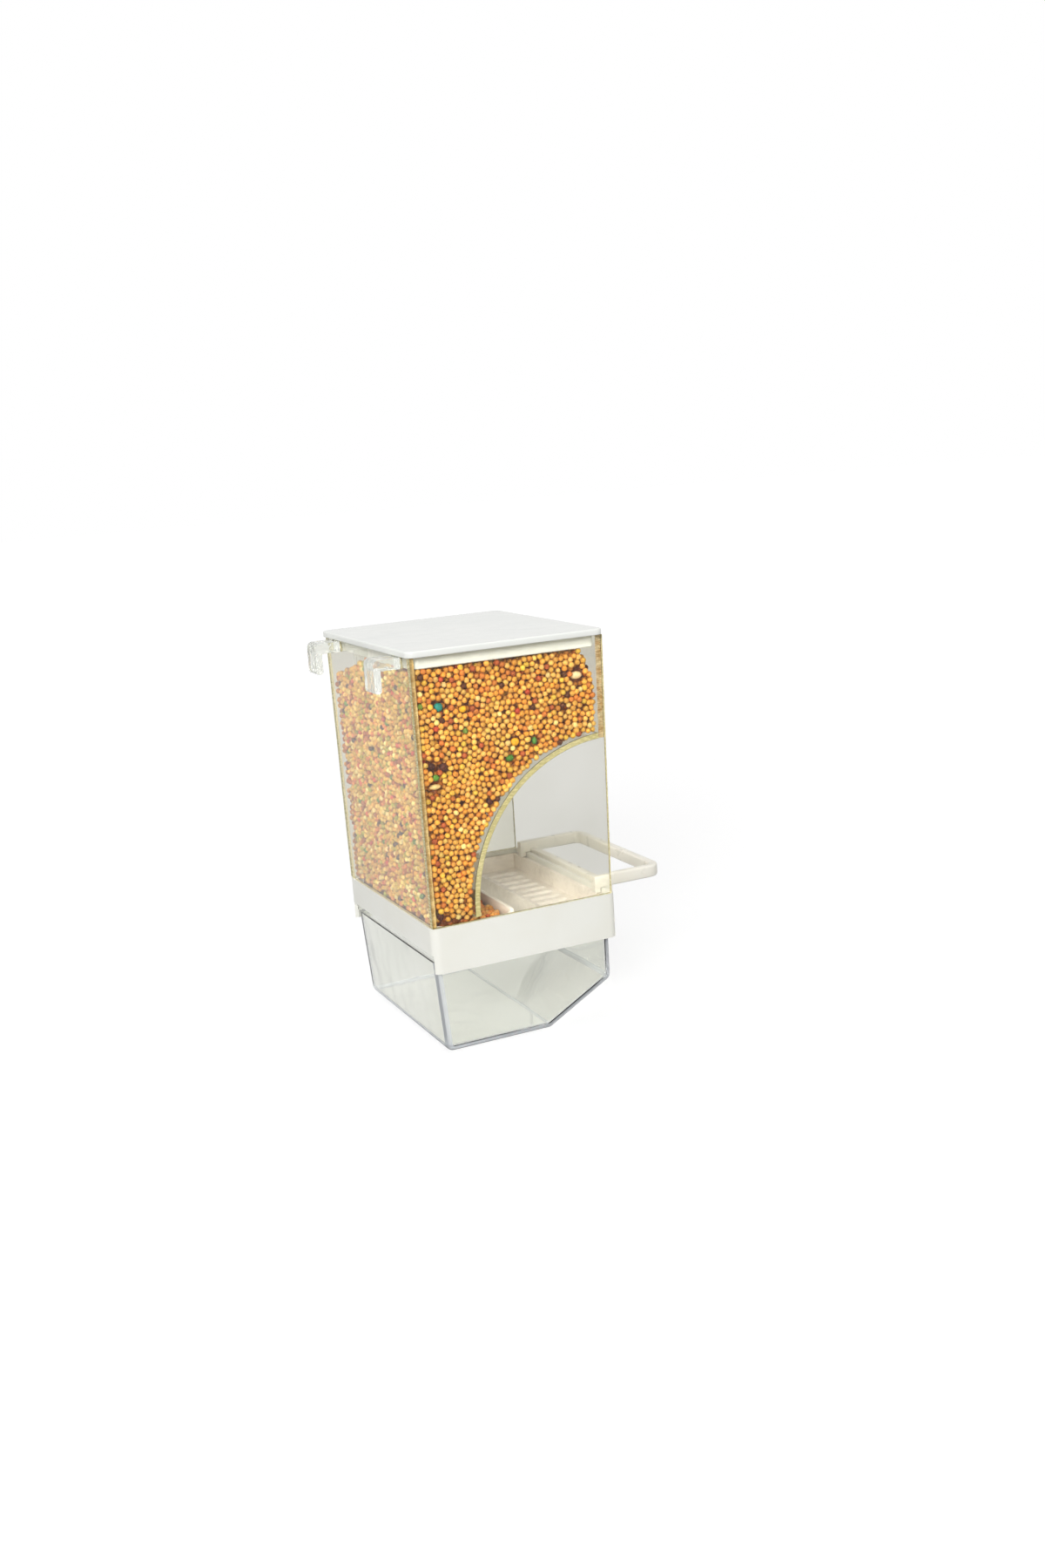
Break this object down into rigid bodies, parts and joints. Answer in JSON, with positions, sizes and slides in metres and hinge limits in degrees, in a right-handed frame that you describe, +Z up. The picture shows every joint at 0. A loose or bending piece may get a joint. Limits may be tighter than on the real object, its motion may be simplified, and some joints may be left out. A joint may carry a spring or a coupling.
{
  "type": "automatic bird feeder",
  "caption": "Clear seed hopper on cage hooks, with a feeding chamber under a curved baffle, seed trough, landing frame, lift-off lid and sliding husk drawer.",
  "frame": {"origin": "midway between the two hooks, on the underside of their arms, where the cage wire lies", "axes": "+X from the hooks towards the landing frame, +Y across towards the right-hand hook as a bird in front sees it, +Z up"},
  "size_m": [0.1016, 0.0828, 0.1351],
  "materials": {
    "clear_sheet": "gloss",
    "clear_moulding": "gloss",
    "white_plastic": "satin",
    "gloss_white": "gloss",
    "seed": "satin"
  },
  "bodies": {
    "feeder_body": {"base_frame": "white_plastic", "seed_trough": "white_plastic", "husk_grate": "white_plastic", "perch_frame": "white_plastic", "back_wall": "clear_sheet", "side_wall_left": "clear_sheet", "side_wall_right": "clear_sheet", "front_wall": "clear_sheet", "curved_baffle": "clear_sheet", "hook_left": "clear_moulding", "hook_right": "clear_moulding", "seed_fill_trough": "seed", "seed_fill_hopper": "seed"},
    "lid": {"lid": "gloss_white"},
    "drawer": {"drawer": "clear_moulding"}
  },
  "joints": [
    {"name": "lid_lift", "type": "slide", "parent": "feeder_body", "child": "lid", "axis": [0, 0, 1], "range_m": [0, 0.04]},
    {"name": "drawer_slide", "type": "slide", "parent": "feeder_body", "child": "drawer", "axis": [-1, 0, 0], "range_m": [0, 0.055]}
  ]
}
